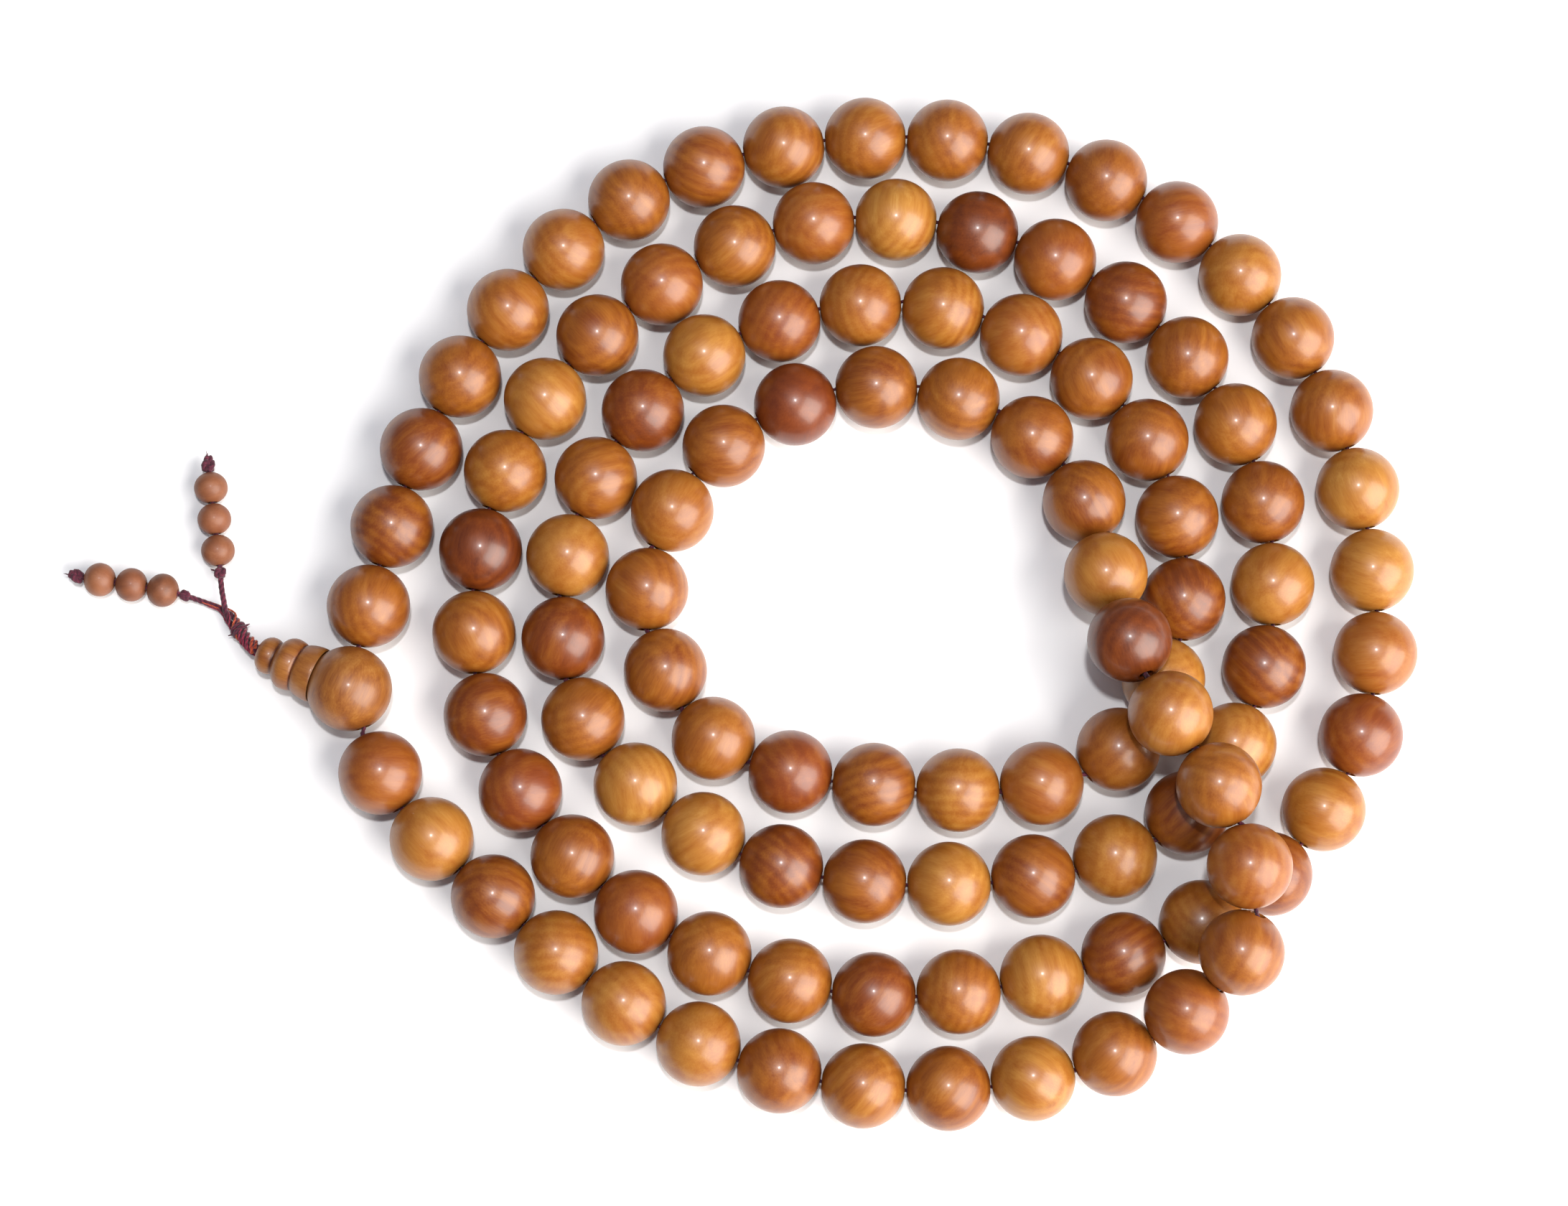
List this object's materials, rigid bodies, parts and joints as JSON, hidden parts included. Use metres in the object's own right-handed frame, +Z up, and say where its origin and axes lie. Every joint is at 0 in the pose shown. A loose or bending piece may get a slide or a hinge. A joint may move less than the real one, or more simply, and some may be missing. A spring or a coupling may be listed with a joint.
{
  "type": "mala prayer beads",
  "caption": "Strand of polished wooden prayer beads laid in a loose spiral, with a guru bead, a turned tower and a forked tassel of small counter beads.",
  "frame": {"origin": "centre of the footprint of the laid strand with its guru bead and tower, on the surface it rests on", "axes": "+Z up; +X along the longest side of the laid strand, away from the tassel; +Y towards the side that the strand leaves the guru bead on"},
  "size_m": [0.198, 0.1522, 0.0232],
  "materials": {
    "bead_wood": "polished satin, fine straight grain, tone varying from bead to bead",
    "guru_wood": "polished satin",
    "counter_wood": "matt, slightly pinkish brown",
    "thread": "twisted maroon thread"
  },
  "bodies": {
    "strand": {"beads_001_003": "bead_wood", "beads_004_006": "bead_wood", "beads_007_009": "bead_wood", "beads_010_012": "bead_wood", "beads_013_015": "bead_wood", "beads_016_018": "bead_wood", "beads_019_021": "bead_wood", "beads_022_024": "bead_wood", "beads_025_027": "bead_wood", "beads_028_030": "bead_wood", "beads_031_033": "bead_wood", "beads_034_036": "bead_wood", "beads_037_039": "bead_wood", "beads_040_042": "bead_wood", "beads_043_045": "bead_wood", "beads_046_048": "bead_wood", "beads_049_051": "bead_wood", "beads_052_054": "bead_wood", "beads_055_057": "bead_wood", "beads_058_060": "bead_wood", "beads_061_063": "bead_wood", "beads_064_066": "bead_wood", "beads_067_069": "bead_wood", "beads_070_072": "bead_wood", "beads_073_075": "bead_wood", "beads_076_078": "bead_wood", "beads_079_081": "bead_wood", "beads_082_084": "bead_wood", "beads_085_087": "bead_wood", "beads_088_090": "bead_wood", "main_thread": "thread", "guru_bead": "guru_wood"},
    "tower": {"guru_tower": "guru_wood"},
    "stem": {"stem_cord": "thread"},
    "pendant_left": {"pendant_cord_left": "thread"},
    "pendant_up": {"pendant_cord_up": "thread"},
    "counter_left_1": {"counter_left_1": "counter_wood"},
    "counter_left_2": {"counter_left_2": "counter_wood"},
    "counter_left_3": {"counter_left_3": "counter_wood"},
    "counter_up_1": {"counter_up_1": "counter_wood"},
    "counter_up_2": {"counter_up_2": "counter_wood"},
    "counter_up_3": {"counter_up_3": "counter_wood"},
    "bead_091": {"bead_091": "bead_wood"},
    "bead_092": {"bead_092": "bead_wood"},
    "bead_093": {"bead_093": "bead_wood"},
    "bead_094": {"bead_094": "bead_wood"},
    "bead_095": {"bead_095": "bead_wood"},
    "bead_096": {"bead_096": "bead_wood"},
    "bead_097": {"bead_097": "bead_wood"},
    "bead_098": {"bead_098": "bead_wood"},
    "bead_099": {"bead_099": "bead_wood"},
    "bead_100": {"bead_100": "bead_wood"},
    "bead_101": {"bead_101": "bead_wood"},
    "bead_102": {"bead_102": "bead_wood"},
    "bead_103": {"bead_103": "bead_wood"},
    "bead_104": {"bead_104": "bead_wood"},
    "bead_105": {"bead_105": "bead_wood"},
    "bead_106": {"bead_106": "bead_wood"},
    "bead_107": {"bead_107": "bead_wood"},
    "bead_108": {"bead_108": "bead_wood"}
  },
  "joints": [
    {"name": "tower_spin", "type": "hinge", "parent": "strand", "child": "tower", "pos_m": [-0.07097, -0.0125, 0.00625], "axis": [-0.9115, 0.3869, -0.1392], "continuous": true},
    {"name": "stem_swing", "type": "hinge", "parent": "strand", "child": "stem", "pos_m": [-0.08477, -0.0067, 0.00415], "axis": [0, 0, 1], "range_deg": [-20, 20]},
    {"name": "pendant_left_swing", "type": "hinge", "parent": "stem", "child": "pendant_left", "pos_m": [-0.08997, -0.0003, 0.00145], "axis": [0, 0, 1], "range_deg": [-15, 30]},
    {"name": "pendant_up_swing", "type": "hinge", "parent": "stem", "child": "pendant_up", "pos_m": [-0.08997, -0.0003, 0.00145], "axis": [0, 0, 1], "range_deg": [-30, 15]},
    {"name": "counter_left_1_spin", "type": "hinge", "parent": "pendant_left", "child": "counter_left_1", "pos_m": [-0.09928, 0.00259, 0.00253], "axis": [-0.9806, 0.1938, 0.0306], "continuous": true},
    {"name": "counter_left_2_spin", "type": "hinge", "parent": "pendant_left", "child": "counter_left_2", "pos_m": [-0.10396, 0.00342, 0.0025], "axis": [-0.9848, 0.1727, 0.0181], "continuous": true},
    {"name": "counter_left_3_spin", "type": "hinge", "parent": "pendant_left", "child": "counter_left_3", "pos_m": [-0.10865, 0.00417, 0.00253], "axis": [-0.9887, 0.15, -0.0043], "continuous": true},
    {"name": "counter_up_1_spin", "type": "hinge", "parent": "pendant_up", "child": "counter_up_1", "pos_m": [-0.09126, 0.00857, 0.00245], "axis": [-0.1326, 0.991, 0.0184], "continuous": true},
    {"name": "counter_up_2_spin", "type": "hinge", "parent": "pendant_up", "child": "counter_up_2", "pos_m": [-0.09189, 0.01327, 0.0025], "axis": [-0.1281, 0.9917, 0.012], "continuous": true},
    {"name": "counter_up_3_spin", "type": "hinge", "parent": "pendant_up", "child": "counter_up_3", "pos_m": [-0.0925, 0.01798, 0.00252], "axis": [-0.1291, 0.9916, -0.0029], "continuous": true},
    {"name": "bead_091_spin", "type": "hinge", "parent": "strand", "child": "bead_091", "pos_m": [0.03971, 0.00394, 0.00983], "axis": [0.2243, -0.8935, 0.3891], "continuous": true},
    {"name": "bead_092_spin", "type": "hinge", "parent": "strand", "child": "bead_092", "pos_m": [0.04249, -0.00655, 0.01561], "axis": [0.344, -0.8836, 0.3177], "continuous": true},
    {"name": "bead_093_spin", "type": "hinge", "parent": "strand", "child": "bead_093", "pos_m": [0.04801, -0.01738, 0.0175], "axis": [0.4989, -0.8621, 0.0888], "continuous": true},
    {"name": "bead_094_spin", "type": "hinge", "parent": "strand", "child": "bead_094", "pos_m": [0.05472, -0.02769, 0.01779], "axis": [0.4465, -0.8948, 0.0071], "continuous": true},
    {"name": "bead_095_spin", "type": "hinge", "parent": "strand", "child": "bead_095", "pos_m": [0.05892, -0.03924, 0.01767], "axis": [0.1272, -0.9892, -0.0724], "continuous": true},
    {"name": "bead_096_spin", "type": "hinge", "parent": "strand", "child": "bead_096", "pos_m": [0.05776, -0.05138, 0.01605], "axis": [-0.3683, -0.8791, -0.3025], "continuous": true},
    {"name": "bead_097_spin", "type": "hinge", "parent": "strand", "child": "bead_097", "pos_m": [0.05039, -0.05962, 0.01067], "axis": [-0.7154, -0.5835, -0.3845], "continuous": true},
    {"name": "bead_098_spin", "type": "hinge", "parent": "strand", "child": "bead_098", "pos_m": [0.04038, -0.06557, 0.00671], "axis": [-0.8978, -0.3907, -0.2032], "continuous": true},
    {"name": "bead_099_spin", "type": "hinge", "parent": "strand", "child": "bead_099", "pos_m": [0.02863, -0.06908, 0.00579], "axis": [-0.9787, -0.2017, -0.0394], "continuous": true},
    {"name": "bead_100_spin", "type": "hinge", "parent": "strand", "child": "bead_100", "pos_m": [0.01641, -0.0705, 0.00574], "axis": [-0.9991, -0.0431, 0], "continuous": true},
    {"name": "bead_101_spin", "type": "hinge", "parent": "strand", "child": "bead_101", "pos_m": [0.00412, -0.07014, 0.00574], "axis": [-0.9947, 0.1029, 0], "continuous": true},
    {"name": "bead_102_spin", "type": "hinge", "parent": "strand", "child": "bead_102", "pos_m": [-0.00799, -0.06798, 0.00574], "axis": [-0.9694, 0.2455, 0], "continuous": true},
    {"name": "bead_103_spin", "type": "hinge", "parent": "strand", "child": "bead_103", "pos_m": [-0.01967, -0.06412, 0.00574], "axis": [-0.9187, 0.395, 0], "continuous": true},
    {"name": "bead_104_spin", "type": "hinge", "parent": "strand", "child": "bead_104", "pos_m": [-0.03051, -0.0583, 0.00574], "axis": [-0.8439, 0.5365, 0], "continuous": true},
    {"name": "bead_105_spin", "type": "hinge", "parent": "strand", "child": "bead_105", "pos_m": [-0.04038, -0.05096, 0.00574], "axis": [-0.7772, 0.6293, 0], "continuous": true},
    {"name": "bead_106_spin", "type": "hinge", "parent": "strand", "child": "bead_106", "pos_m": [-0.04961, -0.04283, 0.00574], "axis": [-0.7424, 0.67, 0], "continuous": true},
    {"name": "bead_107_spin", "type": "hinge", "parent": "strand", "child": "bead_107", "pos_m": [-0.05864, -0.03448, 0.00574], "axis": [-0.6795, 0.7337, 0], "continuous": true},
    {"name": "bead_108_slide", "type": "slide", "parent": "strand", "child": "bead_108", "axis": [-0.4893, 0.8719, 0.0202], "range_m": [0, 0.0006]}
  ]
}
